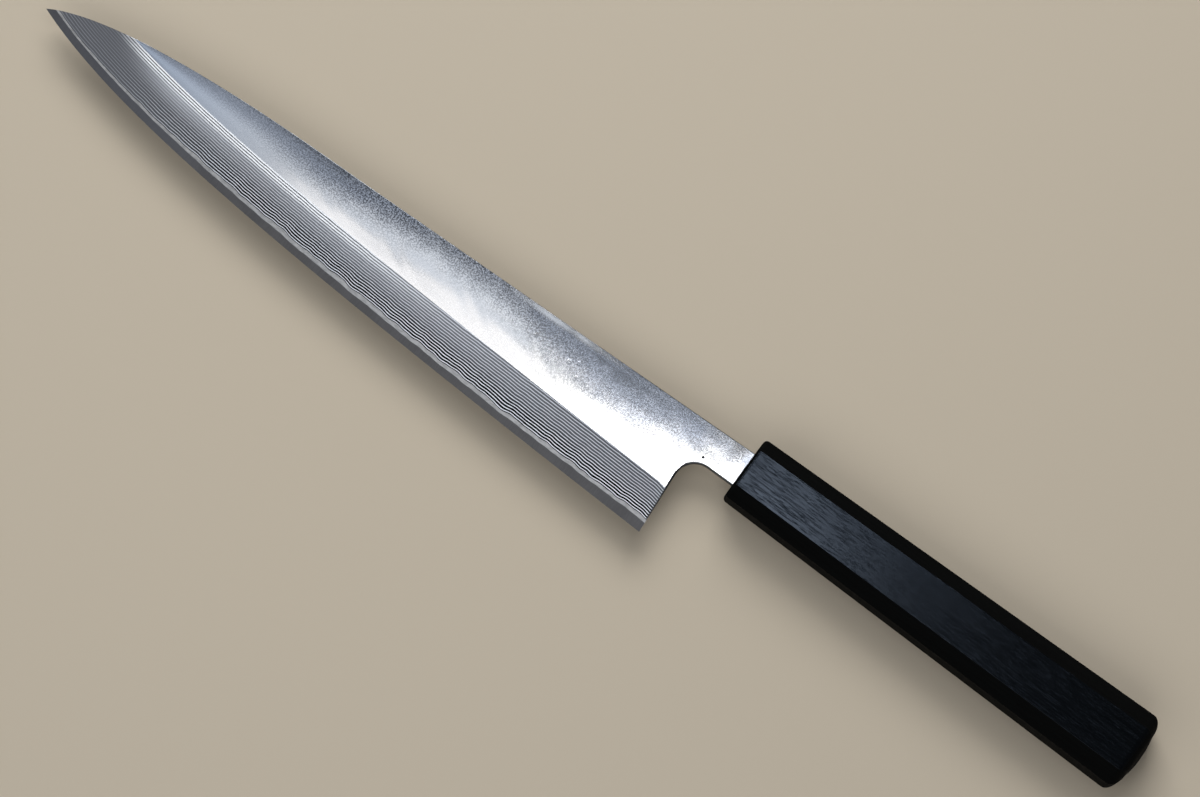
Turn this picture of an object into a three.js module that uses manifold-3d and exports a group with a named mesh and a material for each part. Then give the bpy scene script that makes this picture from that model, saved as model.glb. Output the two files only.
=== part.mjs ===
// Sujihiki slicing knife: a layered blade whose hidden tang is bedded in a one-piece octagonal handle.
// Millimetres. The knife lies on its right side: X runs from the tip to the butt, Y from the edge to
// the spine, and Z up through the blade's thickness.
import * as THREE from "three";
import { mergeVertices } from "three/addons/utils/BufferGeometryUtils.js";
import Module from "manifold-3d";

// Blade outline; heights are measured from the handle's middle line
const BLADE_LENGTH = 240; // heel corner to tip, along the handle
const NECK_LENGTH = 14.4; // handle to heel corner
const NECK_TOP = 5.7; // spine above the middle line, at the handle
const NECK_BOTTOM = 6.3; // neck's underside below the middle line
const HEEL_DROP = 34.4; // heel corner below the middle line
const TIP_DROP = 12.6; // tip below the middle line
const HEEL_LEAN = THREE.MathUtils.degToRad(3.8); // heel's back leans to the tip as it rises
const CHOIL_RADIUS = 6.8; // round where the heel's back meets the neck

// Spine: straight from the handle, then swept down to the tip
const SPINE_FALL = THREE.MathUtils.degToRad(1.53);
const SPINE_SWEEP = 110; // length of the swept run, back from the tip
const SPINE_START_LEAD = 0.16; // share of the sweep that keeps the straight run's direction
const SPINE_TIP_LEAD = 0.245; // share of the sweep that keeps the tip's direction
const SPINE_TIP_ANGLE = THREE.MathUtils.degToRad(31);

// Cutting edge: nearly straight from the heel, then swept up to the tip
const EDGE_RISE = THREE.MathUtils.degToRad(1.7);
const EDGE_HEEL_LEAD = 0.62; // share of the blade that keeps the heel's direction
const EDGE_TIP_LEAD = 0.15; // share of the blade that keeps the tip's direction
const EDGE_TIP_ANGLE = THREE.MathUtils.degToRad(20.5);

// Blade section: flat sides down to the bevel's upper line, then a bevel with a steeper foot
const NECK_THICKNESS = 2.5;
const TIP_THICKNESS = 1.9; // of the flat sides carried on to the tip
const EDGE_THICKNESS = 0.14;
const BEVEL_HEIGHT = 15.9; // bevel's upper line above the edge
const CORE_HEIGHT = 2.8; // bare core above the edge
const CORE_THICKNESS = 0.8;
const BRIGHT_THICKNESS = 0.065; // one bright interlayer

// Tang, its bed and its seal
const TANG_LENGTH = 96; // inside the handle
const TANG_END_HEIGHT = 7;
const BED_THICKNESS = 0.8; // adhesive round the tang
const BOND_GAP = 0.05; // clearance kept between the bed, the tang and the socket
const SEAL_DEPTH = 3; // mouth seal, from the handle's front

// Handle: an octagon that grows to the butt; chamfers are the legs of the corner cuts
const HANDLE_LENGTH = 149;
const FRONT_HEIGHT = 21.3;
const FRONT_THICKNESS = 18.5;
const FRONT_CHAMFER = 4.3;
const BUTT_HEIGHT = 25.5;
const BUTT_THICKNESS = 22;
const BUTT_CHAMFER = 5.3;
const FRONT_EASE = 0.9; // small round on the front's edges
const BUTT_ROUND = 3.4; // round on the butt's edges
const BUTT_DOME = 1.6; // swell of the butt's end

// Fineness of the curves
const EDGE_STEPS = 40;
const SPINE_STEPS = 26;
const CHOIL_STEPS = 8;
const ROUND_STEPS = 5;
const DOME_STEPS = 4;
const CUT_MARGIN = 2; // how far a cutting body runs past what it cuts

const TIP_X = -(BLADE_LENGTH + NECK_LENGTH);
const HEEL = new THREE.Vector2(-NECK_LENGTH, -HEEL_DROP);
const TIP = new THREE.Vector2(TIP_X, -TIP_DROP);

const wasm = await Module();
wasm.setup();

// A closed geometry as a solid that can be cut
function solidOf(geometry) {
  const bare = geometry.clone();
  bare.deleteAttribute("normal");
  bare.deleteAttribute("uv");
  const merged = mergeVertices(bare);
  const mesh = new wasm.Mesh({
    numProp: 3,
    vertProperties: merged.attributes.position.array,
    triVerts: new Uint32Array(merged.index.array),
  });
  return new wasm.Manifold(mesh);
}

// A solid's skin as a geometry for a mesh
function geometryOf(solid) {
  const { vertProperties, triVerts } = solid.getMesh();
  const geometry = new THREE.BufferGeometry();
  geometry.setAttribute("position", new THREE.BufferAttribute(vertProperties, 3));
  geometry.setIndex(new THREE.BufferAttribute(triVerts, 1));
  geometry.computeVertexNormals();
  return geometry;
}

// A closed skin over sections in order of x, each with the same number of (y, z) points, which
// run counter-clockwise seen from the butt
function loft(sections) {
  const count = sections[0].points.length;
  const positions = sections.flatMap(({ x, points }) => points.flatMap((p) => [x, p.x, p.y]));
  const index = [];
  for (let s = 0; s < sections.length - 1; s++) {
    for (let i = 0; i < count; i++) {
      const near = s * count + i;
      const next = s * count + ((i + 1) % count);
      index.push(near, next, next + count, near, next + count, near + count);
    }
  }
  const last = (sections.length - 1) * count;
  for (const [a, b, c] of THREE.ShapeUtils.triangulateShape(sections[0].points, [])) {
    index.push(c, b, a);
  }
  for (const [a, b, c] of THREE.ShapeUtils.triangulateShape(sections.at(-1).points, [])) {
    index.push(last + a, last + b, last + c);
  }
  const geometry = new THREE.BufferGeometry();
  geometry.setAttribute("position", new THREE.Float32BufferAttribute(positions, 3));
  geometry.setIndex(index);
  return geometry;
}

// An outline in the blade's plane as a plate from one height to another
function plate(outline, low, high) {
  const geometry = new THREE.ExtrudeGeometry(new THREE.Shape(outline), {
    depth: high - low,
    bevelEnabled: false,
  });
  return geometry.translate(0, 0, low);
}

// A point at a distance from another, in a direction given as an angle from +X
function step(from, angle, distance) {
  return new THREE.Vector2(Math.cos(angle), Math.sin(angle)).multiplyScalar(distance).add(from);
}

// The swept run of the spine, from the straight run to the tip
function spineCurve() {
  const start = step(
    new THREE.Vector2(0, NECK_TOP),
    Math.PI + SPINE_FALL,
    (BLADE_LENGTH + NECK_LENGTH - SPINE_SWEEP) / Math.cos(SPINE_FALL),
  );
  const leave = step(start, Math.PI + SPINE_FALL, SPINE_START_LEAD * SPINE_SWEEP);
  const arrive = step(TIP, SPINE_TIP_ANGLE, SPINE_TIP_LEAD * SPINE_SWEEP);
  return new THREE.CubicBezierCurve(start, leave, arrive, TIP);
}

// The cutting edge, from the tip to the heel
function edgeCurve() {
  const leave = step(TIP, -EDGE_TIP_ANGLE, EDGE_TIP_LEAD * BLADE_LENGTH);
  const arrive = step(HEEL, Math.PI - EDGE_RISE, EDGE_HEEL_LEAD * BLADE_LENGTH);
  return new THREE.CubicBezierCurve(TIP, leave, arrive, HEEL);
}

// The round between the heel's back and the neck's underside, from the back to the underside
function choilPoints() {
  const across = new THREE.Vector2(Math.cos(HEEL_LEAN), Math.sin(HEEL_LEAN));
  const centreY = -NECK_BOTTOM - CHOIL_RADIUS;
  const reach = CHOIL_RADIUS + HEEL.dot(across) - centreY * across.y;
  const arc = new THREE.EllipseCurve(
    reach / across.x,
    centreY,
    CHOIL_RADIUS,
    CHOIL_RADIUS,
    Math.PI + HEEL_LEAN,
    Math.PI / 2,
    true,
  );
  return arc.getPoints(CHOIL_STEPS);
}

// The tang's outline inside the handle, from one depth to another, grown by a clearance
function tangOutline(from, to, clearance) {
  const top = (x) => THREE.MathUtils.mapLinear(x, 0, TANG_LENGTH, NECK_TOP, TANG_END_HEIGHT / 2);
  const foot = (x) => THREE.MathUtils.mapLinear(x, 0, TANG_LENGTH, NECK_BOTTOM, TANG_END_HEIGHT / 2);
  return [
    new THREE.Vector2(from, -foot(from) - clearance),
    new THREE.Vector2(to, -foot(to) - clearance),
    new THREE.Vector2(to, top(to) + clearance),
    new THREE.Vector2(from, top(from) + clearance),
  ];
}

// The tang's room, grown by a clearance on every side
function tangRoom(from, to, clearance) {
  const half = NECK_THICKNESS / 2 + clearance;
  return solidOf(plate(tangOutline(from, to, clearance), -half, half));
}

// The whole blade's outline, tang included, counter-clockwise from the neck's top
function bladeOutline() {
  const [, tangFoot, tangTop] = tangOutline(0, TANG_LENGTH, 0);
  return [
    new THREE.Vector2(0, NECK_TOP),
    ...spineCurve().getPoints(SPINE_STEPS),
    ...edgeCurve().getPoints(EDGE_STEPS).slice(1),
    ...choilPoints(),
    new THREE.Vector2(0, -NECK_BOTTOM),
    tangFoot,
    tangTop,
  ];
}

// Half of the flat sides' thickness at a place along the knife
function halfThickness(x) {
  const share = THREE.MathUtils.clamp(x / TIP_X, 0, 1);
  return THREE.MathUtils.lerp(NECK_THICKNESS, TIP_THICKNESS, share) / 2;
}

// The section that the two sides and their bevels leave, at a place along the knife where the
// edge lies at a height
function groundSection(x, edgeY) {
  const edgeHalf = EDGE_THICKNESS / 2;
  const coreHalf = CORE_THICKNESS / 2;
  const skirt = (CORE_HEIGHT * edgeHalf) / 2 / (coreHalf - edgeHalf);
  const left = [
    new THREE.Vector2(edgeY - skirt, edgeHalf / 2),
    new THREE.Vector2(edgeY + CORE_HEIGHT, coreHalf),
    new THREE.Vector2(edgeY + BEVEL_HEIGHT, halfThickness(x)),
    new THREE.Vector2(NECK_TOP + CUT_MARGIN, halfThickness(x)),
  ];
  const right = left.map((p) => new THREE.Vector2(p.x, -p.y));
  return { x, points: [...right, ...left.toReversed()] };
}

// The room between the ground sides, from past the tip to past the tang
function groundSides() {
  const edge = edgeCurve().getPoints(EDGE_STEPS);
  const beyond = TIP_X - CUT_MARGIN;
  const sections = [
    groundSection(beyond, TIP.y + CUT_MARGIN * Math.tan(EDGE_TIP_ANGLE)),
    ...edge.map((p) => groundSection(p.x, p.y)),
    groundSection(0, HEEL.y),
    groundSection(TANG_LENGTH + CUT_MARGIN, HEEL.y),
  ];
  return solidOf(loft(sections));
}

// The blade as it is ground, before it is told apart into its layers
function groundBlade() {
  const half = NECK_THICKNESS / 2 + CUT_MARGIN;
  return solidOf(plate(bladeOutline(), -half, half)).intersect(groundSides());
}

// The layer of a blade between two heights
function layer(blade, low, high) {
  const length = BLADE_LENGTH + NECK_LENGTH + TANG_LENGTH + 2 * CUT_MARGIN;
  const height = 2 * (HEEL_DROP + CUT_MARGIN);
  const slab = new THREE.BoxGeometry(length, height, high - low);
  slab.translate((TIP_X + TANG_LENGTH) / 2, 0, (low + high) / 2);
  return blade.intersect(solidOf(slab));
}

// The handle's section at a share of its length, drawn in by an inset
function octagon(share, inset) {
  const lerp = THREE.MathUtils.lerp;
  const a = lerp(FRONT_HEIGHT, BUTT_HEIGHT, share) / 2 - inset;
  const b = lerp(FRONT_THICKNESS, BUTT_THICKNESS, share) / 2 - inset;
  const c = lerp(FRONT_CHAMFER, BUTT_CHAMFER, share) - (2 - Math.SQRT2) * inset;
  const corners = [
    [a, c - b],
    [a, b - c],
    [a - c, b],
    [c - a, b],
    [-a, b - c],
    [-a, c - b],
    [c - a, -b],
    [a - c, -b],
  ];
  return corners.map(([y, z]) => new THREE.Vector2(y, z));
}

// The handle's outer form: eased front, straight growing sides, rounded and domed butt
function handleForm() {
  const sections = [];
  for (let i = 0; i <= ROUND_STEPS; i++) {
    const turn = (Math.PI / 2) * (1 - i / ROUND_STEPS);
    const x = FRONT_EASE * (1 - Math.sin(turn));
    sections.push({ x, points: octagon(x / HANDLE_LENGTH, FRONT_EASE * (1 - Math.cos(turn))) });
  }
  const roundStart = HANDLE_LENGTH - BUTT_DOME - BUTT_ROUND;
  for (let i = 0; i <= ROUND_STEPS; i++) {
    const turn = (Math.PI / 2) * (i / ROUND_STEPS);
    const x = roundStart + BUTT_ROUND * Math.sin(turn);
    sections.push({ x, points: octagon(x / HANDLE_LENGTH, BUTT_ROUND * (1 - Math.cos(turn))) });
  }
  const rim = sections.at(-1).points;
  for (let i = DOME_STEPS - 1; i > 0; i--) {
    const share = i / DOME_STEPS;
    const x = HANDLE_LENGTH - BUTT_DOME * share * share;
    sections.push({ x, points: rim.map((p) => p.clone().multiplyScalar(share)) });
  }
  return solidOf(loft(sections));
}

// The handle with its tang socket, open at the front
function handleBody() {
  const clearance = BED_THICKNESS + BOND_GAP;
  return handleForm().subtract(tangRoom(-CUT_MARGIN, TANG_LENGTH + clearance, clearance));
}

// Adhesive between the tang and its socket, behind the seal
function tangAdhesive() {
  const start = SEAL_DEPTH + BOND_GAP;
  const bed = tangRoom(start, TANG_LENGTH + BED_THICKNESS, BED_THICKNESS);
  return bed.subtract(tangRoom(-CUT_MARGIN, TANG_LENGTH + BOND_GAP, BOND_GAP));
}

// Seal that closes the socket's mouth round the neck
function mouthSeal() {
  const ring = tangRoom(0, SEAL_DEPTH, BED_THICKNESS);
  return ring.subtract(tangRoom(-CUT_MARGIN, SEAL_DEPTH + CUT_MARGIN, BOND_GAP));
}

function steel(color, roughness) {
  return new THREE.MeshStandardMaterial({ color, roughness, metalness: 1 });
}

function dull(color, roughness) {
  return new THREE.MeshStandardMaterial({ color, roughness, metalness: 0 });
}

const MATERIALS = {
  coreSteel: steel(0x6c7177, 0.38),
  brightLayer: steel(0xd9dcdf, 0.3),
  layeredSteel: steel(0xa4a9ae, 0.35),
  blackWood: dull(0x17161a, 0.45),
  adhesive: dull(0x4a3a22, 0.5),
  seal: dull(0x101011, 0.6),
};

function named(name, solid, material) {
  const mesh = new THREE.Mesh(geometryOf(solid), material);
  mesh.name = name;
  return mesh;
}

// The core lies on the middle plane; a bright layer and a layered cladding lie on each side of it
function bladeLayers() {
  const blade = groundBlade();
  const core = CORE_THICKNESS / 2;
  const bright = core + BRIGHT_THICKNESS;
  const outer = NECK_THICKNESS / 2 + CUT_MARGIN;
  return [
    named("core_steel", layer(blade, -core, core), MATERIALS.coreSteel),
    named("left_bright_layer", layer(blade, core, bright), MATERIALS.brightLayer),
    named("right_bright_layer", layer(blade, -bright, -core), MATERIALS.brightLayer),
    named("left_layered_cladding", layer(blade, bright, outer), MATERIALS.layeredSteel),
    named("right_layered_cladding", layer(blade, -outer, -bright), MATERIALS.layeredSteel),
  ];
}

const knife = new THREE.Group();
knife.add(
  ...bladeLayers(),
  named("handle_body", handleBody(), MATERIALS.blackWood),
  named("tang_adhesive", tangAdhesive(), MATERIALS.adhesive),
  named("mouth_seal", mouthSeal(), MATERIALS.seal),
);

// The knife's own frame has its origin under the middle of its box, on the surface that it lies on
const box = new THREE.Box3().setFromObject(knife);
const middle = box.getCenter(new THREE.Vector3());
knife.position.set(-middle.x, -middle.y, -box.min.z);

export default knife;
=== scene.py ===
"""Looks of a slicing knife: layered blade, dark core edge and black octagonal wooden handle.

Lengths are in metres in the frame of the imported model: X from the tip to the butt, Y from the
cutting edge to the spine, Z up through the blade's thickness, left face up.
"""

import logging
import math
from dataclasses import dataclass, field, fields
from enum import Enum
from typing import Any, Callable, Mapping, Sequence, Union

import bmesh
import bpy
import numpy as np
from mathutils import Matrix, Vector


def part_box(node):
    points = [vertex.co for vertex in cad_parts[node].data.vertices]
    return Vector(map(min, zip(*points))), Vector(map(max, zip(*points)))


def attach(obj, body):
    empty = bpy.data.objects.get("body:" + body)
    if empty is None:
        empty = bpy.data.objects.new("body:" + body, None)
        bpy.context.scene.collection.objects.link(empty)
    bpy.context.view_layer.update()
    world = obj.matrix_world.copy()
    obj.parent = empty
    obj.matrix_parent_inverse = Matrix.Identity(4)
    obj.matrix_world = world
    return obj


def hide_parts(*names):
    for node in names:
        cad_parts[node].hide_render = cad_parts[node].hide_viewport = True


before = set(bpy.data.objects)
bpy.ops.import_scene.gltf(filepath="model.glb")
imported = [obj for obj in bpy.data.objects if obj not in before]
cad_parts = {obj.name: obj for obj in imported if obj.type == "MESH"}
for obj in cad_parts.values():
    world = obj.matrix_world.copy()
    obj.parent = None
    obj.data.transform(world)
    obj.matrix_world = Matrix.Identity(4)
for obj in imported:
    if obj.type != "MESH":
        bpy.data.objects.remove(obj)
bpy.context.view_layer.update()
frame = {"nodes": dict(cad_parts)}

MM = 0.001
FULL_TURN = 2 * math.pi
QUARTER_TURN = math.pi / 2
BODY = "root"
SHARP_ANGLE = math.radians(35)
WELD_DISTANCE = 1e-7
RING_WELD_DISTANCE = 1e-6
NEEDLE_LENGTH = 1e-8
TINY = 1e-12

# Places of the colour sockets on a Mix node
MIX_FIRST = 6
MIX_SECOND = 7
MIX_RESULT = 2

# A slope is a smooth change: where it starts and ends, then the results there if they aren't 0 and 1
# A course is a line of such changes: values, each with the result there
Colour = tuple[float, float, float]
Point = tuple[float, float, float]
Span = tuple[float, float]
Slope = tuple[float, ...]
Course = tuple[Span, ...]
Number = Union[float, np.ndarray]
Operand = Union["Wire", float]

EVEN: Point = (1.0, 1.0, 1.0)
BLACK: Colour = (0.0, 0.0, 0.0)
WHITE: Colour = (1.0, 1.0, 1.0)

logging.basicConfig(level=logging.INFO, format="%(message)s")
LOG = logging.getLogger("knife")


class Side(Enum):
    """Side of the blade, as the sign of Z; the left side faces up."""

    LEFT = 1
    RIGHT = -1


class Line(Enum):
    """Line along the blade's side: its edge, the tops of the core and bright layer, and the bevel's top."""

    EDGE = 0
    CORE = 1
    BRIGHT = 2
    BEVEL = 3


def arithmetic(operation: str, swapped: bool = False) -> Callable[["Wire", Operand], "Wire"]:
    """Make the method behind one arithmetic sign.

    Args:
        operation: Operation of the Math node.
        swapped: Whether the wire stands to the right of the sign.

    Returns:
        The method, which adds the Math node.
    """

    def method(wire: "Wire", other: Operand) -> "Wire":
        """Return the Math node's result."""
        return wire.math(operation, other, wire) if swapped else wire.math(operation, wire, other)

    return method


class Wire:
    """A socket in a node tree; arithmetic on values adds the Math nodes for it."""

    def __init__(self, graph: "Graph", socket: bpy.types.NodeSocket) -> None:
        """Keep the tree's builder, and the output socket to read from."""
        self.graph = graph
        self.socket = socket

    __add__ = arithmetic("ADD")
    __radd__ = arithmetic("ADD", swapped=True)
    __sub__ = arithmetic("SUBTRACT")
    __rsub__ = arithmetic("SUBTRACT", swapped=True)
    __mul__ = arithmetic("MULTIPLY")
    __rmul__ = arithmetic("MULTIPLY", swapped=True)
    __truediv__ = arithmetic("DIVIDE")
    __rtruediv__ = arithmetic("DIVIDE", swapped=True)
    __lt__ = arithmetic("LESS_THAN")

    def other(self, name: str) -> "Wire":
        """Return another output of the same node, by its name."""
        return Wire(self.graph, self.socket.node.outputs[name])

    def math(self, operation: str, *operands: Operand) -> "Wire":
        """Add a Math node with an operation and its operands, and return the result."""
        return self.graph.add("ShaderNodeMath", {"operation": operation}, dict(enumerate(operands)))

    def __abs__(self) -> "Wire":
        """Return the absolute value."""
        return self.math("ABSOLUTE", self)

    def fraction(self) -> "Wire":
        """Return the part after the decimal point."""
        return self.math("FRACT", self)

    def sin(self) -> "Wire":
        """Return the sine."""
        return self.math("SINE", self)

    def cos(self) -> "Wire":
        """Return the cosine."""
        return self.math("COSINE", self)

    def ramp(self, low: float, high: float, start: Operand = 0.0, end: Operand = 1.0) -> "Wire":
        """Return a smooth change from start, at the value low, to end, at high; held beyond them."""
        sockets = {"Value": self, "From Min": low, "From Max": high, "To Min": start, "To Max": end}
        return self.graph.add("ShaderNodeMapRange", {"interpolation_type": "SMOOTHSTEP"}, sockets)

    def profile(self, course: Course) -> "Wire":
        """Map the value through several smooth steps, held at the ends.

        Args:
            course: Values in rising order, each with the result there.

        Returns:
            The mapped value.
        """
        result: Operand = course[0][1]
        for (low, start), (high, end) in zip(course, course[1:]):
            result = result + self.ramp(low, high, 0.0, end - start)
        return result


class Graph:
    """Builder of one node tree."""

    def __init__(self, tree: bpy.types.NodeTree) -> None:
        """Empty the tree that is to be filled."""
        self.tree = tree
        tree.nodes.clear()

    def add(
        self,
        kind: str,
        settings: Mapping[str, Any] | None = None,
        sockets: Mapping[str | int, Any] | None = None,
        output: str | int = 0,
    ) -> Wire:
        """Add a node.

        Args:
            kind: Node type.
            settings: Node properties, set first.
            sockets: Values or wires of the input sockets, by name or place.
            output: Output to return, by name or place.

        Returns:
            The chosen output; for a node that ends the tree, its input.
        """
        node = self.tree.nodes.new(kind)
        for name, value in (settings or {}).items():
            setattr(node, name, value)
        for name, value in (sockets or {}).items():
            if isinstance(value, Wire):
                self.tree.links.new(value.socket, node.inputs[name])
            else:
                node.inputs[name].default_value = value
        return Wire(self, (node.outputs or node.inputs)[output])

    def axes(self, vector: Wire) -> tuple[Wire, Wire, Wire]:
        """Return a vector's X, Y and Z."""
        x = self.add("ShaderNodeSeparateXYZ", {}, {0: vector})
        return x, x.other("Y"), x.other("Z")

    def moved(self, form: Wire, x: Operand, y: Operand = 0.0, z: Operand = 0.0) -> Wire:
        """Return a form with its points at new places."""
        place = self.add("ShaderNodeCombineXYZ", {}, {"X": x, "Y": y, "Z": z})
        return self.add("GeometryNodeSetPosition", {}, {"Geometry": form, "Position": place})

    def blend(
        self, share: Operand, first: Colour | Wire, second: Colour | Wire, multiply: bool = False
    ) -> Wire:
        """Mix two colours.

        Args:
            share: Share of the second colour.
            first: Colour at 0.
            second: Colour at 1, or what the first is multiplied by there.
            multiply: Whether the colours are multiplied.

        Returns:
            The mixed colour.
        """
        ends = [end if isinstance(end, Wire) else (*end, 1.0) for end in (first, second)]
        settings = {"data_type": "RGBA", "blend_type": "MULTIPLY" if multiply else "MIX"}
        sockets = {0: share, MIX_FIRST: ends[0], MIX_SECOND: ends[1]}
        return self.add("ShaderNodeMix", settings, sockets, MIX_RESULT)


class Paint(Graph):
    """Builder of one surface material."""

    def __init__(self, name: str) -> None:
        """Make the material.

        Args:
            name: Material's name.
        """
        self.material = bpy.data.materials.new(name)
        self.material.use_nodes = True
        super().__init__(self.material.node_tree)

    def attribute(self, name: str) -> Wire:
        """Return a value that the mesh holds."""
        return self.add("ShaderNodeAttribute", {"attribute_name": name}, output="Fac")

    def place(self, stretch: Point = EVEN) -> Wire:
        """Return the object coordinates, stretched along each axis."""
        here = self.add("ShaderNodeTexCoord", output="Object")
        return self.add("ShaderNodeMapping", {}, {"Vector": here, "Scale": stretch})

    def noise(
        self, size: float, stretch: Point = EVEN, detail: float = 2.0, roughness: float = 0.5
    ) -> Wire:
        """Return cloudy noise from 0 to 1.

        Args:
            size: Width of its largest features.
            stretch: Factor on the coordinates of each axis.
            detail: Number of finer octaves.
            roughness: Strength of the finer octaves.

        Returns:
            The noise's value.
        """
        sockets = {"Vector": self.place(stretch), "Scale": 1 / size, "Detail": detail,
                   "Roughness": roughness}
        return self.add("ShaderNodeTexNoise", {}, sockets)

    def bump(self, height: Wire, depth: float) -> Wire:
        """Return the normal of a height, with the depth in metres that 1 stands for."""
        return self.add("ShaderNodeBump", {}, {"Height": height, "Distance": depth, "Strength": 1.0})

    def shader(self, **sockets: Any) -> Wire:
        """Add a Principled shader, its inputs named with underscores for spaces."""
        named = {name.replace("_", " "): value for name, value in sockets.items()}
        return self.add("ShaderNodeBsdfPrincipled", {}, named)

    def finish(self, shader: Wire) -> bpy.types.Material:
        """End the material in a shader, and return it."""
        self.add("ShaderNodeOutputMaterial", {}, {"Surface": shader})
        return self.material


@dataclass(frozen=True)
class Nick:
    """A small dent in the upper flat, placed from the middle of the handle's front."""

    x: float
    y: float
    radius: float
    depth: float
    # How dark the mark is painted: the pit dark, and painted shade in the two shallow dents given a share
    dark: float = 0.0


@dataclass(frozen=True)
class LayeredSteel:
    """Clad steel: bright mottled flats, and light and dark lines where the bevel cuts the layers.

    What is named along, tip or heel goes by the share of the way from the handle to the tip, a rise by
    millimetres over the bevel's upper line, and what is named worn or dull by the flat's wear, which is
    lowered where a highlight by the spine is painted.
    """

    front: Vector
    bright: Colour = (0.775, 0.77, 0.77)
    bright_tip: Colour = (0.545, 0.595, 0.675)
    dull: Colour = (0.385, 0.415, 0.475)
    dull_heel: Colour = (0.22, 0.24, 0.275)
    line_dark: Colour = (0.006, 0.006, 0.006)
    line_light: Colour = (0.72, 0.75, 0.80)
    plain_low: Colour = (0.200, 0.212, 0.236)
    plain_tip: Colour = (0.122, 0.126, 0.139)
    plain_high: Colour = (0.57, 0.59, 0.63)
    top_dark: Colour = (0.06, 0.06, 0.063)
    top_light: Colour = (0.93, 0.95, 0.97)
    # Painted shade: a near-black colour on the eased rims and the walls, in place of their dark reflections
    rim: Colour = (0.05, 0.05, 0.053)
    rim_shade_share: float = 0.85
    line_blur: float = 0.12
    flat_roughness: float = 0.10
    bevel_roughness: float = 0.40
    worn_roughness: Slope = (0.3, 1.2, 0.0, 0.09)
    grain_roughness: float = 0.12
    grain: float = 0.48 * MM
    grain_detail: Span = (2.0, 0.65)
    grain_depth: float = 0.007 * MM
    worn_grain: Slope = (0.1, 0.9, 0.3, 1.0)
    tip_grain: Slope = (0.5, 0.95, 1.0, 0.35)
    line_relief: float = 0.1
    ragged: float = 1.1 * MM
    ragged_stretch: Point = (0.35, 1.0, 1.0)
    ragged_share: float = 0.26
    light_line: Slope = (0.58, 0.84)
    top_line: Slope = (0.26, 0.52)
    contrast_by_layer: Slope = (2.5, 8.5, 1.0, 0.60)
    contrast_along: Slope = (0.66, 0.92, 1.0, 0.14)
    tip_tone: Slope = (0.55, 0.92)
    high_rise: Slope = (-9.0, 0.0)
    high_along: Course = ((0.1, 0.0), (0.6, 1.0), (0.80, 1.0), (0.915, 0.0))
    top_rise: Slope = (-3.4, -1.6, 0.0, 0.92)
    top_along: Course = ((0.36, 0.0), (0.62, 1.0), (0.86, 1.0), (0.925, 0.0))
    patch: float = 4.0 * MM
    patch_detail: Span = (3.0, 0.6)
    patch_share: float = 0.4
    cloud: float = 19.0 * MM
    cloud_share: float = 0.25
    uneven_along: Slope = (0.3, 0.8, 1.0, 0.3)
    crest_share: float = 1.2
    worn_along: Course = (
        (0.0, 0.0), (0.014, -0.28), (0.035, -0.30), (0.08, 0.05), (0.15, 0.26), (0.19, 0.26),
        (0.25, 0.10), (0.36, -0.26), (0.44, -0.26), (0.62, 0.14), (0.75, 0.02),
    )
    # Painted highlight by the spine: its band across the flat, and its strength along the blade
    spine_highlight_crest: Slope = (0.86, 0.96, 0.0, 0.8)
    spine_highlight_along: Course = ((0.14, 0.25), (0.24, 1.0), (0.28, 1.0), (0.38, 0.0))
    tip_tint: Slope = (0.60, 0.90)
    dull_start: Slope = (0.40, 1.10)
    dull_heel_start: Slope = (1.05, 1.40)
    worn_speck: Slope = (0.20, 0.90, 0.10, 1.0)
    speck_along: Course = ((0.20, 0.6), (0.36, 0.8), (0.50, 0.8), (0.80, 0.2))
    speck_edge: Slope = (0.41, 0.59, -0.5, 0.5)
    heel_speck: Slope = (0.20, 0.36, 0.45, 1.0)
    nick_height: float = 1.2 * MM
    nick_core: float = 0.35
    nicks: tuple[Nick, ...] = (
        Nick(-12.1 * MM, -4.5 * MM, 0.52 * MM, 0.03 * MM, 1.0),
        Nick(-62.2 * MM, -5.2 * MM, 1.1 * MM, 0.012 * MM),
        Nick(-59.5 * MM, -3.9 * MM, 0.9 * MM, 0.012 * MM),
        Nick(-57.6 * MM, -7.8 * MM, 0.7 * MM, 0.010 * MM, 0.2),
        Nick(-74.9 * MM, -4.6 * MM, 1.0 * MM, 0.014 * MM, 0.2),
    )

    def material(self) -> bpy.types.Material:
        """Make the material.

        Returns:
            The finished material.
        """
        paint = Paint("layered_steel")
        over, wall, reach = (paint.attribute(name) for name in ("over", "wall", "reach"))
        on_flat = over.ramp(-self.line_blur, self.line_blur) * (1 - wall)
        bevel, light = self._bevel(paint, over, reach)
        flat, grain, wear_and_highlight = self._flat(paint, reach)
        dents, dark_pit_and_dent_shade = self._dents(paint)
        # The pit is painted dark, and two dents get painted shade
        colour = paint.blend(dark_pit_and_dent_shade, paint.blend(on_flat, bevel, flat), self.line_dark)
        # Painted shade on the eased rims and the walls
        colour = paint.blend(wall * self.rim_shade_share, colour, self.rim)
        gloss = on_flat.ramp(0.0, 1.0, self.bevel_roughness, self.flat_roughness)
        uneven = wear_and_highlight.ramp(*self.worn_roughness) + (grain - 0.5) * self.grain_roughness
        relief = grain * wear_and_highlight.ramp(*self.worn_grain) * reach.ramp(*self.tip_grain)
        height = on_flat * relief + (1 - on_flat) * light * self.line_relief
        normal = paint.bump(height - dents, self.grain_depth)
        return paint.finish(paint.shader(
            Base_Color=colour, Roughness=gloss + on_flat * uneven, Metallic=1.0, Normal=normal))

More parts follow.
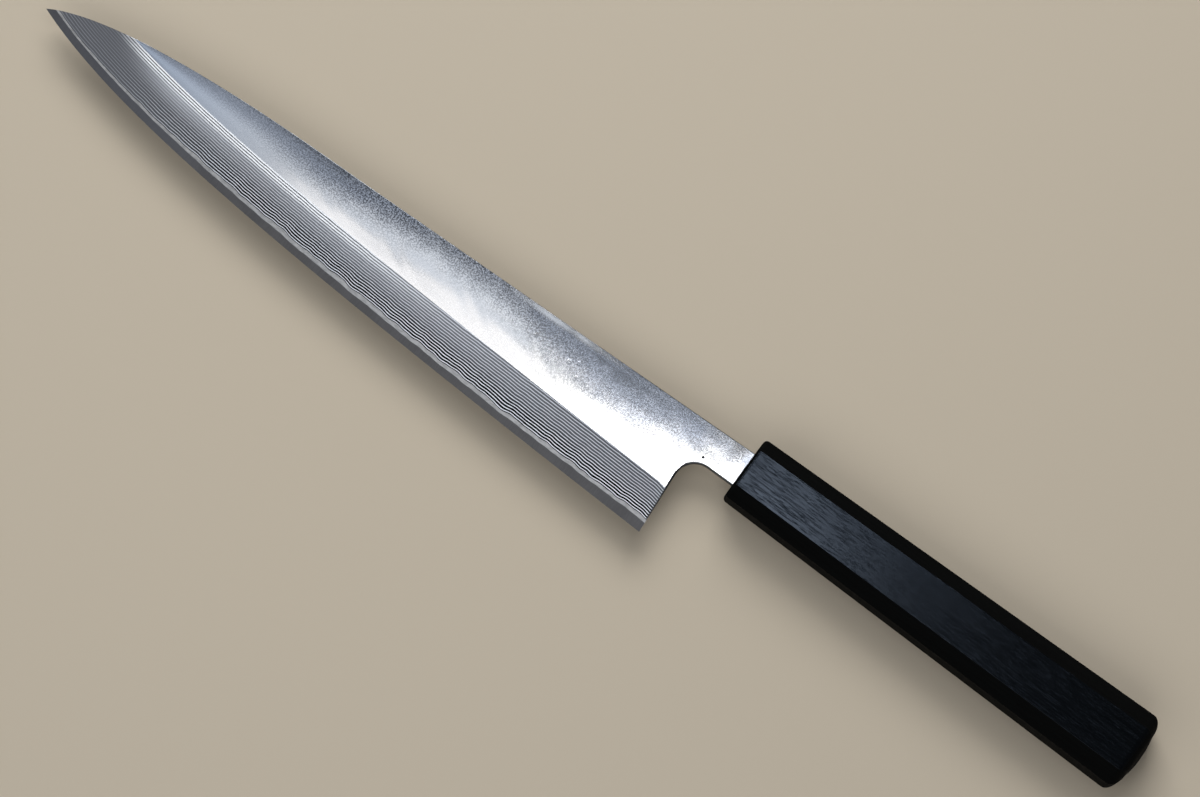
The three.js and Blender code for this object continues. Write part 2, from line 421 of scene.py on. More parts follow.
    def _dents(self, paint: Paint) -> tuple[Wire, Wire]:
        """Press the small dents into the upper flat.

        Args:
            paint: Material's builder.

        Returns:
            The dents' depth, as shares of the grain's, and how dark they are painted: the pit dark, and
            painted shade in two dents.
        """
        depths, dark_pit_and_dent_shade = [], []
        for nick in self.nicks:
            places = {0: paint.place(), 1: self.front + Vector((nick.x, nick.y, self.nick_height))}
            away = paint.add("ShaderNodeVectorMath", {"operation": "DISTANCE"}, places, "Value")
            share = away.ramp(self.nick_core * nick.radius, nick.radius, 1.0, 0.0)
            depths.append(share * (nick.depth / self.grain_depth))
            dark_pit_and_dent_shade.append(share * nick.dark)
        return sum(depths), sum(dark_pit_and_dent_shade)

    def _bevel(self, paint: Paint, over: Wire, reach: Wire) -> tuple[Wire, Wire]:
        """Draw the layers' lines on the bevel.

        Args:
            paint: Material's builder.
            over: Height over the bevel's upper line, in millimetres.
            reach: Share of the way from the handle to the tip.

        Returns:
            The bevel's colour, and 1 on its light lines.
        """
        layer = paint.attribute("layer")
        stray = (paint.noise(self.ragged, self.ragged_stretch) - 0.5) * self.ragged_share
        from_line = abs((layer + 0.5 + stray).fraction() * 2 - 1)
        light = from_line.ramp(*self.light_line)
        plain = paint.blend(reach.ramp(*self.tip_tone), self.plain_low, self.plain_tip)
        high = over.ramp(*self.high_rise) * reach.profile(self.high_along)
        plain = paint.blend(high, plain, self.plain_high)
        line = paint.blend(light, self.line_dark, self.line_light)
        contrast = layer.ramp(*self.contrast_by_layer) * reach.ramp(*self.contrast_along)
        top = paint.blend(from_line.ramp(*self.top_line), self.top_dark, self.top_light)
        near_top = over.ramp(*self.top_rise) * reach.profile(self.top_along)
        return paint.blend(near_top, paint.blend(contrast, plain, line), top), light

    def _flat(self, paint: Paint, reach: Wire) -> tuple[Wire, Wire, Wire]:
        """Mottle the flat sides: bright by the bevel, duller and grainy by the spine, but for a painted
        highlight along it.

        Args:
            paint: Material's builder.
            reach: Share of the way from the handle to the tip.

        Returns:
            The flat's colour, its grain, and its wear, less where the highlight by the spine is painted.
        """
        grain = paint.noise(self.grain, EVEN, *self.grain_detail)
        patch = paint.noise(self.patch, EVEN, *self.patch_detail)
        cloud = paint.noise(self.cloud)
        crest = paint.attribute("crest")
        uneven = (cloud - 0.5) * self.cloud_share + (patch - 0.5) * self.patch_share
        # Painted highlight: the flat is made brighter and smoother in a band by the spine, strongest some
        # 60 to 70 mm from the handle
        painted_spine_highlight = crest.ramp(*self.spine_highlight_crest) * reach.profile(self.spine_highlight_along)
        wear_and_highlight = crest * self.crest_share + uneven * reach.ramp(*self.uneven_along)
        wear_and_highlight = wear_and_highlight + reach.profile(self.worn_along) - painted_spine_highlight
        flat = paint.blend(reach.ramp(*self.tip_tint), self.bright, self.bright_tip)
        flat = paint.blend(wear_and_highlight.ramp(*self.dull_start), flat, self.dull)
        flat = paint.blend(wear_and_highlight.ramp(*self.dull_heel_start), flat, self.dull_heel)
        deep = wear_and_highlight.ramp(*self.worn_speck) * reach.profile(self.speck_along)
        speck = 0.5 + grain.ramp(*self.speck_edge) * reach.ramp(*self.heel_speck)
        flat = paint.blend(deep, flat, paint.blend(speck, BLACK, WHITE), multiply=True)
        return flat, grain, wear_and_highlight


@dataclass(frozen=True)
class CoreSteel:
    """Hard core steel, etched to a dark slate grey with faint stone marks across the edge."""

    front: Vector
    dark: Colour = (0.086, 0.084, 0.086)
    light: Colour = (0.110, 0.108, 0.111)
    tone: Slope = (0.3, 0.7)
    tip: Colour = (0.118, 0.126, 0.150)
    tip_tone: Slope = (-215.0 * MM, -165.0 * MM, 0.4, 0.0)
    mark: float = 0.35 * MM
    mark_stretch: Point = (1.0, 0.12, 0.12)
    mark_depth: float = 0.002 * MM
    cloud: float = 9.0 * MM
    roughness: float = 0.42
    roughness_spread: float = 0.16

    def material(self) -> bpy.types.Material:
        """Make the material.

        Returns:
            The finished material.
        """
        paint = Paint("core_steel")
        marks = paint.noise(self.mark, self.mark_stretch)
        shade = (marks + paint.noise(self.cloud)) * 0.5
        along = paint.axes(paint.place())[0] - self.front.x
        colour = paint.blend(shade.ramp(*self.tone), self.dark, self.light)
        colour = paint.blend(along.ramp(*self.tip_tone), colour, self.tip)
        roughness = self.roughness + (marks - 0.5) * self.roughness_spread
        return paint.finish(paint.shader(
            Base_Color=colour, Roughness=roughness, Metallic=1.0,
            Normal=paint.bump(marks, self.mark_depth)))


@dataclass(frozen=True)
class CloudedFinish:
    """Plain finish with faint clouds: the bright interlayer, or cured resin."""

    name: str
    dark: Colour
    light: Colour
    cloud: float
    depth: float
    roughness: float
    roughness_spread: float
    metallic: float = 0.0
    stretch: Point = EVEN
    detail: float = 3.0
    tone: Slope = (0.3, 0.7)

    def material(self) -> bpy.types.Material:
        """Make the material.

        Returns:
            The finished material.
        """
        paint = Paint(self.name)
        clouds = paint.noise(self.cloud, self.stretch, self.detail)
        colour = paint.blend(clouds.ramp(*self.tone), self.dark, self.light)
        roughness = self.roughness + (clouds - 0.5) * self.roughness_spread
        return paint.finish(paint.shader(
            Base_Color=colour, Roughness=roughness, Metallic=self.metallic,
            Normal=paint.bump(clouds, self.depth)))


BRIGHT_STEEL = CloudedFinish(
    "bright_layer", dark=(0.26, 0.26, 0.26), light=(0.37, 0.37, 0.37), cloud=0.7 * MM,
    depth=0.003 * MM, roughness=0.38, roughness_spread=0.15, metallic=1.0, stretch=(0.4, 1.0, 1.0))
MOUTH_RESIN = CloudedFinish(
    "seal", dark=(0.008, 0.008, 0.009), light=(0.020, 0.019, 0.019), cloud=1.5 * MM,
    depth=0.01 * MM, roughness=0.5, roughness_spread=0.2)
BED_RESIN = CloudedFinish(
    "adhesive", dark=(0.14, 0.095, 0.045), light=(0.24, 0.17, 0.09), cloud=1.5 * MM,
    depth=0.01 * MM, roughness=0.5, roughness_spread=0.2)


@dataclass(frozen=True)
class BlackWood:
    """Dense black wood: a satin polish on the broad facets, fine straight grain and short pores."""

    dark: Colour = (0.0006, 0.0008, 0.0008)
    light: Colour = (0.0016, 0.0019, 0.0019)
    tone: Slope = (0.35, 0.65)
    sheen: Colour = (0.64, 0.78, 1.0)
    fibre: float = 0.30 * MM
    fibre_stretch: Point = (0.012, 1.0, 1.0)
    fibre_detail: Span = (2.0, 0.6)
    fibre_tone: float = 0.7
    fibre_height: float = 0.2
    fibre_roughness: Slope = (0.38, 0.62, 0.0, 0.04)
    band: float = 4.0 * MM
    band_stretch: Point = (0.05, 1.0, 1.0)
    pore: float = 0.35 * MM
    pore_stretch: Point = (0.072, 1.0, 1.0)
    pore_detail: float = 1.0
    pore_edge: Slope = (0.50, 0.74)
    pore_depth: float = 0.020 * MM
    pore_dark: float = 0.8
    pore_roughness: float = 0.06
    roughness: float = 0.13
    gloss: float = 0.30
    side_roughness: float = 0.85
    side_gloss: float = 0.06
    side_share: Slope = (0.82, 0.96, 1.0, 0.0)

    def material(self) -> bpy.types.Material:
        """Make the material.

        Returns:
            The finished material.
        """
        paint = Paint("black_wood")
        fibres = paint.noise(self.fibre, self.fibre_stretch, *self.fibre_detail)
        bands = paint.noise(self.band, self.band_stretch)
        pores = paint.noise(self.pore, self.pore_stretch, self.pore_detail).ramp(*self.pore_edge)
        shade = fibres * self.fibre_tone + bands * (1 - self.fibre_tone)
        colour = paint.blend(shade.ramp(*self.tone), self.dark, self.light)
        colour = paint.blend(pores * self.pore_dark, colour, self.dark)
        roughness = self.roughness + fibres.ramp(*self.fibre_roughness) + pores * self.pore_roughness
        normal = paint.bump(fibres * self.fibre_height - pores, self.pore_depth)
        polished = paint.shader(
            Base_Color=colour, Roughness=roughness, Normal=normal,
            Specular_IOR_Level=self.gloss, Specular_Tint=(*self.sheen, 1.0))
        plain = paint.shader(
            Base_Color=colour, Roughness=self.side_roughness, Normal=normal,
            Specular_IOR_Level=self.side_gloss)
        share = paint.attribute("broad").ramp(*self.side_share)
        return paint.finish(paint.add("ShaderNodeMixShader", {}, {0: share, 1: polished, 2: plain}))


@dataclass(frozen=True)
class PaleFloor:
    """Plain pale floor under the knife."""

    colour: Colour = (0.57, 0.50, 0.395)
    roughness: float = 0.9
    gloss: float = 0.2

    def material(self) -> bpy.types.Material:
        """Return the finished material."""
        paint = Paint("pale_floor")
        return paint.finish(paint.shader(
            Base_Color=(*self.colour, 1.0), Roughness=self.roughness, Specular_IOR_Level=self.gloss))


def bezier(points: Sequence[np.ndarray], steps: int) -> np.ndarray:
    """Sample a cubic curve.

    Args:
        points: Its four control points.
        steps: Number of steps.

    Returns:
        The points along it.
    """
    t = np.linspace(0.0, 1.0, steps + 1)[:, None]
    a, b, c, d = points
    return a * (1 - t) ** 3 + b * 3 * t * (1 - t) ** 2 + c * 3 * t**2 * (1 - t) + d * t**3


def heading(angle: float) -> np.ndarray:
    """Return the direction at an angle from +X."""
    return np.array([math.cos(angle), math.sin(angle)])


def part_way(start: Number, end: Number, share: Number) -> Number:
    """Return what lies a share of the way from start to end."""
    return start + (end - start) * share


def ease_in(x: Number, low: float, high: float) -> Number:
    """Return a smooth rise from 0 at low to 1 at high."""
    t = np.clip((x - low) / (high - low), 0.0, 1.0)
    return t * t * (3 - 2 * t)


@dataclass(frozen=True)
class BladePlan:
    """The blade's outline seen from its side, measured from the middle of the handle's front."""

    blade_length: float = 240.0 * MM
    neck_length: float = 14.4 * MM
    neck_top: float = 5.7 * MM
    neck_bottom: float = 6.3 * MM
    heel_drop: float = 34.4 * MM
    tip_drop: float = 12.6 * MM
    heel_lean: float = math.radians(3.8)
    choil_radius: float = 6.8 * MM
    spine_fall: float = math.radians(1.53)
    spine_sweep: float = 110.0 * MM
    spine_start_lead: float = 0.16
    spine_tip_lead: float = 0.245
    spine_tip_angle: float = math.radians(31)
    edge_rise: float = math.radians(1.7)
    edge_heel_lead: float = 0.62
    edge_tip_lead: float = 0.15
    edge_tip_angle: float = math.radians(20.5)
    tang_length: float = 96.0 * MM
    tang_end_height: float = 7.0 * MM
    curve_steps: int = 400
    arc_steps: int = 22

    @property
    def tip(self) -> np.ndarray:
        """Return the tip."""
        return np.array([-(self.blade_length + self.neck_length), -self.tip_drop])

    @property
    def heel(self) -> np.ndarray:
        """Return the heel corner."""
        return np.array([-self.neck_length, -self.heel_drop])

    def spine_line(self) -> np.ndarray:
        """Draw the spine.

        Returns:
            Its points from the tip to the end of the tang.
        """
        run = self.blade_length + self.neck_length - self.spine_sweep
        away = heading(math.pi + self.spine_fall)
        start = np.array([0.0, self.neck_top]) + away * run / math.cos(self.spine_fall)
        leave = start + away * self.spine_start_lead * self.spine_sweep
        arrive = self.tip + heading(self.spine_tip_angle) * self.spine_tip_lead * self.spine_sweep
        swept = bezier([self.tip, arrive, leave, start], self.curve_steps)
        ends = [[0.0, self.neck_top], [self.tang_length, self.tang_end_height / 2]]
        return np.vstack([swept, ends])

    def edge_line(self) -> np.ndarray:
        """Draw the cutting edge.

        Returns:
            Its points from the tip to the heel, then level to the end of the tang.
        """
        leave = self.tip + heading(-self.edge_tip_angle) * self.edge_tip_lead * self.blade_length
        away = heading(math.pi - self.edge_rise)
        arrive = self.heel + away * self.edge_heel_lead * self.blade_length
        swept = bezier([self.tip, leave, arrive, self.heel], self.curve_steps)
        return np.vstack([swept, [[self.tang_length, self.heel[1]]]])

    def choil_line(self) -> np.ndarray:
        """Draw the choil.

        Returns:
            Points of the round from the heel's back to the neck's underside.
        """
        across = heading(self.heel_lean)
        middle_y = -self.neck_bottom - self.choil_radius
        reach = self.choil_radius + self.heel @ across - middle_y * across[1]
        turn = np.linspace(math.pi + self.heel_lean, QUARTER_TURN, self.arc_steps + 1)
        middle = np.array([reach / across[0], middle_y])
        return middle + self.choil_radius * np.stack([np.cos(turn), np.sin(turn)], 1)

    def rims(self) -> list[np.ndarray]:
        """Return the outlines that are eased by hand: the spine, and the neck, choil and heel's back."""
        under = np.vstack([[[0.0, -self.neck_bottom]], self.choil_line()[::-1], [self.heel]])
        return [self.spine_line()[:-1], under]

    def spine(self, x: Number) -> Number:
        """Return the spine's height at places along the knife."""
        return np.interp(x, *self.spine_line().T)

    def edge(self, x: Number) -> Number:
        """Return the edge's height at places along the knife."""
        return np.interp(x, *self.edge_line().T)


@dataclass(frozen=True)
class BladeGrind:
    """Thickness of the blade and the course of its layers, from its middle plane outwards.

    The methods take places along the knife as x, and heights as y. Runs are distances from the tip,
    other than the pairs' run, which is from the handle.
    """

    plan: BladePlan = field(default_factory=BladePlan)
    neck_thickness: float = 2.5 * MM
    tip_thickness: float = 1.9 * MM
    edge_thickness: float = 0.14 * MM
    bevel_height: float = 15.9 * MM
    bevel_dip: float = 0.6 * MM
    bevel_dip_length: float = 5.0 * MM
    core_height: float = 2.4 * MM
    heel_core_height: float = 3.25 * MM
    heel_core_length: float = 75.0 * MM
    core_thickness: float = 0.8 * MM
    bright_thickness: float = 0.065 * MM
    bright_tip_share: float = 0.4
    bright_tip_run: Span = (10.0 * MM, 120.0 * MM)
    least_flat: float = 0.1 * MM
    crown_angle: float = math.radians(0.95)
    crown_fade: float = 7.0 * MM
    ripple: float = 0.009 * MM
    ripple_length: float = 17.0 * MM
    ripple_bend: float = 1.3
    ripple_slant: float = 0.61
    ripple_across: float = 1.7
    ripple_drift: float = 0.43
    ripple_start: float = 0.2
    ripple_run: Span = (30.0 * MM, 120.0 * MM)
    spine_round: float = 0.18 * MM
    spine_tip_round: float = 0.04 * MM
    spine_round_run: Span = (50.0 * MM, 150.0 * MM)
    under_round: float = 0.55 * MM
    round_room: float = 0.7
    wave: float = 0.19 * MM
    wave_lengths: tuple[float, ...] = (34.0 * MM, 19.0 * MM, 11.3 * MM, 7.3 * MM, 4.9 * MM)
    wave_shares: tuple[float, ...] = (0.5, 0.55, 0.6, 0.6, 0.4)
    wave_bend: float = 0.7
    wave_slant: float = 0.37
    wave_tip_share: float = 0.3
    wave_run: Span = (15.0 * MM, 110.0 * MM)
    wave_calm: float = 5.5 * MM
    wave_seed: int = 5
    core_wave_share: float = 0.35
    core_own_wave_share: float = 0.25
    core_own_wave_seed: int = 11
    fine_wave: float = 0.22 / MM
    fine_wave_height: float = 2.2 * MM
    fine_wave_seed: int = 23
    heel_pairs: float = 13.75
    tip_pairs: float = 15.75
    pairs_run: Span = (40.0 * MM, 150.0 * MM)

    def from_tip(self, x: Number, run: Span) -> Number:
        """Return a smooth rise from 0 to 1 over a run of distances from the tip."""
        tip = self.plan.tip[0]
        return ease_in(x, tip + run[0], tip + run[1])

    def flat_half(self, x: Number) -> Number:
        """Return half of the flat sides' thickness."""
        share = np.clip(x / self.plan.tip[0], 0.0, 1.0)
        return part_way(self.neck_thickness, self.tip_thickness, share) / 2

    def rise(self, x: np.ndarray, y: np.ndarray) -> np.ndarray:
        """Return heights above the cutting edge."""
        return y - self.plan.edge(x)

    def bevel_line(self, x: Number) -> Number:
        """Return the height above the edge of the bevel's upper line, which dips at the heel."""
        heel = self.plan.heel[0]
        return self.bevel_height - self.bevel_dip * ease_in(x, heel - self.bevel_dip_length, heel)

    def core_line(self, x: Number) -> Number:
        """Return the height above the edge at which the core ends, taller at the heel."""
        share = ease_in(x, -self.heel_core_length, self.plan.heel[0])
        return part_way(self.core_height, self.heel_core_height, share)

    def crest(self, x: np.ndarray, y: np.ndarray) -> np.ndarray:
        """Return shares of the way over the flat, from the bevel's upper line to the spine."""
        low = self.plan.edge(x) + self.bevel_line(x)
        return np.clip((y - low) / np.maximum(self.plan.spine(x) - low, self.least_flat), 0.0, 1.0)

    def outer(self, x: np.ndarray, y: np.ndarray) -> np.ndarray:
        """Work out half thicknesses of the ground blade.

        Args:
            x: Places along the knife.
            y: Heights.

        Returns:
            Distance of the surface from the middle plane.
        """
        rise, half, knee = self.rise(x, y), self.flat_half(x), self.core_line(x)
        core = self.core_thickness / 2
        low = part_way(self.edge_thickness / 2, core, rise / knee)
        high = part_way(core, half, (rise - knee) / (self.bevel_line(x) - knee))
        return np.minimum(np.where(rise < knee, low, high), half) + self.crown(x, y)

    def crown(self, x: np.ndarray, y: np.ndarray) -> np.ndarray:
        """Work out the swell of the flats: slightly domed, falling to the spine, uneven by hand.

        Args:
            x: Places along the knife.
            y: Heights.

        Returns:
            Heights over plain flats.
        """
        width = np.maximum(self.plan.spine(x) - self.plan.edge(x) - self.bevel_line(x), 0.0)
        crest = self.crest(x, y)
        dome = math.tan(self.crown_angle) * width * ((1 - (2 * crest - 1) ** 2) / 4 - crest**2 / 2)
        along, across = FULL_TURN * x / self.ripple_length, FULL_TURN * y / self.ripple_length
        uneven = np.sin(along + self.ripple_bend * np.sin(self.ripple_slant * along + across))
        uneven = uneven * np.cos(self.ripple_across * across + self.ripple_drift * along)
        share = np.minimum(crest / self.ripple_start, 1.0) * self.from_tip(x, self.ripple_run)
        return (dome + self.ripple * uneven * share) * ease_in(-x, 0.0, self.crown_fade)

    def waviness(self, x: np.ndarray, seed: int) -> np.ndarray:
        """Work out how far a layer's line strays up or down along the blade.

        Args:
            x: Places along the knife.
            seed: Chooses the phases.

        Returns:
            The stray, in metres along the bevel.
        """
        phases = np.random.default_rng(seed).uniform(0, FULL_TURN, (len(self.wave_lengths), 2))
        stray = np.zeros_like(x)
        for length, share, (phase, skew) in zip(self.wave_lengths, self.wave_shares, phases):
            turn = FULL_TURN * x / length
            stray += share * np.sin(turn + phase + self.wave_bend * np.sin(self.wave_slant * turn + skew))
        return self.wave * stray * part_way(self.wave_tip_share, 1.0, self.from_tip(x, self.wave_run))

    def line(self, line: Line, x: np.ndarray) -> np.ndarray:
        """Work out the height of a line on the blade's side.

        Args:
            line: Line that is asked for.
            x: Places along the knife.

        Returns:
            Heights above the cutting edge.
        """
        if line is Line.EDGE:
            return np.zeros_like(x)
        if line is Line.BEVEL:
            return self.bevel_line(x)
        wave = self.waviness(x, self.wave_seed)
        if line is Line.CORE:
            own_wave = self.waviness(x, self.core_own_wave_seed)
            return self.core_line(x) + self.core_wave_share * wave + self.core_own_wave_share * own_wave
        slope = (self.flat_half(x) - self.core_thickness / 2) / (self.bevel_height - self.core_height)
        share = part_way(self.bright_tip_share, 1.0, self.from_tip(x, self.bright_tip_run))
        return self.core_line(x) + share * self.bright_thickness / slope + wave

    def limit(self, line: Line, x: np.ndarray, y: np.ndarray) -> np.ndarray:
        """Work out where the layer that ends at a line has its outer face.

        Args:
            line: The core's line or the bright layer's.
            x: Places along the knife.
            y: Heights.

        Returns:
            Distances from the middle plane; the face meets the bevel along the line.
        """
        plain = self.core_thickness / 2 + (self.bright_thickness if line is Line.BRIGHT else 0.0)
        height = self.line(line, x)
        at_line = self.outer(x, self.plan.edge(x) + height)
        calm = np.exp(-np.maximum(self.rise(x, y) - height, 0.0) / self.wave_calm)
        return part_way(plain, at_line, calm)

    def pairs(self, x: np.ndarray, y: np.ndarray, z: np.ndarray) -> np.ndarray:
        """Count the pairs of layers between the bright layer and a point.

        Args:
            x: Places along the knife.
            y: Heights.
            z: Distances from the middle plane.

        Returns:
            Counts of pairs.
        """
        count = part_way(self.heel_pairs, self.tip_pairs, ease_in(-x, *self.pairs_run))
        thickness = self.flat_half(x) - self.core_thickness / 2 - self.bright_thickness
        fine = self.fine_wave * np.sin(self.rise(x, y) / self.fine_wave_height)
        fine = fine * self.waviness(x, self.fine_wave_seed)
        return count * (z - self.limit(Line.BRIGHT, x, y)) / thickness + fine

    def rounds(
        self, x: np.ndarray, y: np.ndarray, room: np.ndarray
    ) -> tuple[np.ndarray, np.ndarray]:
        """Work out the rounds of the hand-eased rims, which are smaller at the spine's tip.

        Args:
            x: Places along the knife.
            y: Heights.
            room: Thickness of steel that the rounds may take up.

        Returns:
            How far they lower the surface, and 1 on the rims, falling to 0 where the rounds end; the finish
            paints shade there.
        """
        spine = part_way(self.spine_tip_round, self.spine_round, self.from_tip(x, self.spine_round_run))
        depth, share = np.zeros_like(x), np.zeros_like(x)
        for rim, radius in zip(self.plan.rims(), (spine, self.under_round)):
            away = self._distance(x, y, rim)
            round_off = np.maximum(np.minimum(radius, self.round_room * room), TINY)
            inside = np.clip(1 - away / round_off, 0.0, 1.0)
            depth = np.maximum(depth, round_off * (1 - np.sqrt(1 - inside**2)))
            share = np.maximum(share, np.clip(2 - 2 * away / radius, 0.0, 1.0))
        return depth, share

    @staticmethod
    def _distance(x: np.ndarray, y: np.ndarray, line: np.ndarray) -> np.ndarray:
        """Measure points from a line of short straight stretches.

        Args:
            x: Points' places along the knife.
            y: Points' heights.
            line: The line's points.

        Returns:
            The distances.
        """
        points = np.stack([x, y], 1)
        nearest = np.full(len(points), np.inf)
        for start, end in zip(line[:-1], line[1:]):
            run = end - start
            along = np.clip((points - start) @ run / max(run @ run, TINY), 0.0, 1.0)
            away = np.linalg.norm(points - start - along[:, None] * run, axis=1)
            nearest = np.minimum(nearest, away)
        return nearest


@dataclass
class SheetPlan:
    """Points and faces of one layer seen from its side."""

    points: np.ndarray
    faces: np.ndarray


@dataclass
class Blade:
    """The blade: core with its tang, and a bright layer and a layered cladding on each side.

    Rim rows and tip columns are distances in millimetres; crease rows are shares of the way to it.
    The rim rows draw together where there is less room than the rim's room times their width.
    """

    origin: Vector
    grind: BladeGrind = field(default_factory=BladeGrind)
    column: float = 0.8 * MM
    tang_columns: int = 12
    bevel_rows: int = 30
    foot_rows: int = 6
    knee_rows: int = 8
    flat_rows: int = 20
    rim_rows: tuple[float, ...] = (0.0, 0.03, 0.09, 0.18, 0.28, 0.38, 0.6)
    rim_room: int = 4
    tip_columns: tuple[float, ...] = (0.0, 0.1, 0.25, 0.45, 0.7)
    crease_start: float = 0.965
    crease_rows: tuple[float, ...] = (0.985, 0.995)
    lean_length: float = 45.0 * MM
    lean_rounds: int = 4
    tip_search: float = 40.0 * MM
    tip_steps: int = 4000

    def build(self) -> None:
        """Build and dress the five layers."""
        self._core()
        bright, layered = BRIGHT_STEEL.material(), LayeredSteel(self.origin).material()
        for side in Side:
            self._bright(side, bright)
            self._cladding(side, layered)

    def _core(self) -> None:
        """Build the core: the dark edge, and the tang inside the handle."""
        sheet = self._sheet(Line.EDGE, Line.CORE, self.foot_rows)
        x, y = sheet.points.T
        half = np.minimum(self.grind.outer(x, y), self.grind.limit(Line.CORE, x, y))
        piece = self._closed("core_steel_blank", sheet, half, -half, Side.LEFT)
        dress(piece, CoreSteel(self.origin).material(), "core_steel")

    def _bright(self, side: Side, finish: bpy.types.Material) -> None:
        """Build one bright layer.

        Args:
            side: Side of the blade.
            finish: Its material.
        """
        grind, name = self.grind, side.name.lower()
        sheet = self._sheet(Line.CORE, Line.BRIGHT, self.foot_rows)
        x, y = sheet.points.T
        inner = grind.limit(Line.CORE, x, y)
        outer = np.maximum(np.minimum(grind.outer(x, y), grind.limit(Line.BRIGHT, x, y)), inner)
        piece = self._closed(f"{name}_bright_sheet", sheet, outer, inner, side)
        dress(piece, finish, f"{name}_bright_layer")

    def _cladding(self, side: Side, finish: bpy.types.Material) -> None:
        """Build one layered cladding, with the values that its finish reads.

        Args:
            side: Side of the blade.
            finish: Its material.
        """
        grind, name = self.grind, side.name.lower()
        sheet = self._sheet(Line.BRIGHT, Line.BEVEL, self.bevel_rows)
        x, y = sheet.points.T
        inner = grind.limit(Line.BRIGHT, x, y)
        outer = np.maximum(grind.outer(x, y), inner)
        depth, wall = grind.rounds(x, y, outer - inner)
        outer = outer - depth
        values = {
            "over": np.tile((grind.rise(x, y) - grind.bevel_line(x)) / MM, 2),
            "crest": np.tile(grind.crest(x, y), 2),
            "reach": np.tile(np.clip(x / grind.plan.tip[0], 0.0, 1.0), 2),
            # 1 on the rims and on the inner face, where the finish paints shade
            "wall": np.concatenate([wall, np.ones_like(wall)]),
            "layer": np.concatenate([grind.pairs(x, y, z) for z in (outer, inner)]),
        }
        piece = self._closed(f"{name}_cladding_face", sheet, outer, inner, side, values)
        dress(piece, finish, f"{name}_layered_cladding")

    def _height(self, line: Line, x: np.ndarray) -> np.ndarray:
        """Return the height of a line along the blade, held under the spine."""
        plan = self.grind.plan
        return np.minimum(plan.edge(x) + self.grind.line(line, x), plan.spine(x))

    def _knee_height(self, x: np.ndarray) -> np.ndarray:
        """Work out the height of the row that runs into the foot of the choil.

        Args:
            x: Places along the knife.

        Returns:
            Heights, the same share of the way up the flat all along.
        """
        plan = self.grind.plan
        knee_x, knee_y = plan.choil_line()[0]
        low = plan.edge(knee_x) + self.grind.bevel_line(knee_x)
        share = (knee_y - low) / (plan.spine(knee_x) - low)
        return part_way(self._height(Line.BEVEL, x), plan.spine(x), share)

    def _sheet(self, low: Line, crease: Line, crease_rows: int) -> SheetPlan:
        """Lay out one layer's points: columns along the blade, rows from its foot to the spine.

        Args:
            low: Line that the layer's foot follows.
            crease: Line that its rows keep to.
            crease_rows: Rows from the foot to that line.

        Returns:
            Points and faces of the layer.
        """
        plan = self.grind.plan
        choil = plan.choil_line()
        knee_x, knee_y = choil[0]
        columns = self._columns(low, knee_x)
        lean = ease_in(columns, knee_x - self.lean_length, knee_x) * math.tan(plan.heel_lean)

        def at(height: Callable[[np.ndarray], np.ndarray]) -> np.ndarray:
            """Find each column's point at a height; the columns near the heel lean with its back.

            Args:
                height: Gives the heights at places along the knife.

            Returns:
                The points.
            """
            x = columns
            for _ in range(self.lean_rounds):
                y = height(x)
                x = columns + lean * np.maximum(knee_y - y, 0.0)
            return np.stack([x, y], 1)

        foot = at(lambda x: self._height(low, x))
        bend = at(lambda x: np.maximum(self._height(crease, x), self._height(low, x)))
        knees = at(lambda x: np.maximum(self._height(crease, x), self._knee_height(x)))
        to_bend = np.append(np.linspace(0, self.crease_start, crease_rows), self.crease_rows)
        to_knees = np.linspace(0, 1, self.knee_rows, endpoint=False)
        grid = np.concatenate([
            self._rows(foot, bend, to_bend[None]),
            self._rows(bend, knees, to_knees[None]),
            self._flat_rows(knees, at(plan.spine)),
        ], axis=1)
        back = np.vstack([choil[1:], self._neck_foot()])
        back_top = np.stack([back[:, 0], plan.spine(back[:, 0])], 1)
        return self._joined(grid, self._flat_rows(back, back_top))

    def _columns(self, low: Line, end: float) -> np.ndarray:
        """Space the columns from where a layer's foot leaves the spine to the heel, closer at both ends.

        Args:
            low: Line that the layer's foot follows.
            end: Last place.

        Returns:
            The places along the knife.
        """
        plan = self.grind.plan
        search = np.linspace(plan.tip[0], plan.tip[0] + self.tip_search, self.tip_steps + 1)
        clear = plan.spine(search) - plan.edge(search) >= self.grind.line(low, search)
        first = search[np.argmax(clear)] + np.array(self.tip_columns) * MM
        last = end - np.array(self.rim_rows)[::-1] * MM
        middle = np.linspace(first[-1], last[0], round((end - first[0]) / self.column))
        return np.concatenate([first[:-1], middle, last[1:]])

    def _neck_foot(self) -> np.ndarray:
        """Draw the underside of the neck and the tang.

        Returns:
            Points from past the choil to the tang's end.
        """
        plan = self.grind.plan
        end = plan.choil_line()[-1][0]
        neck = np.linspace(end, 0.0, max(2, round(-end / self.column)))[1:]
        tang = np.linspace(0.0, plan.tang_length, self.tang_columns + 1)[1:]
        x = np.concatenate([neck, tang])
        foot = np.interp(x, [0.0, plan.tang_length], [plan.neck_bottom, plan.tang_end_height / 2])
        return np.stack([x, -foot], 1)

    @staticmethod
    def _rows(first: np.ndarray, last: np.ndarray, shares: np.ndarray) -> np.ndarray:
        """Return points by column and row between two lines, at shares of the way."""
        return part_way(first[:, None, :], last[:, None, :], shares[:, :, None])

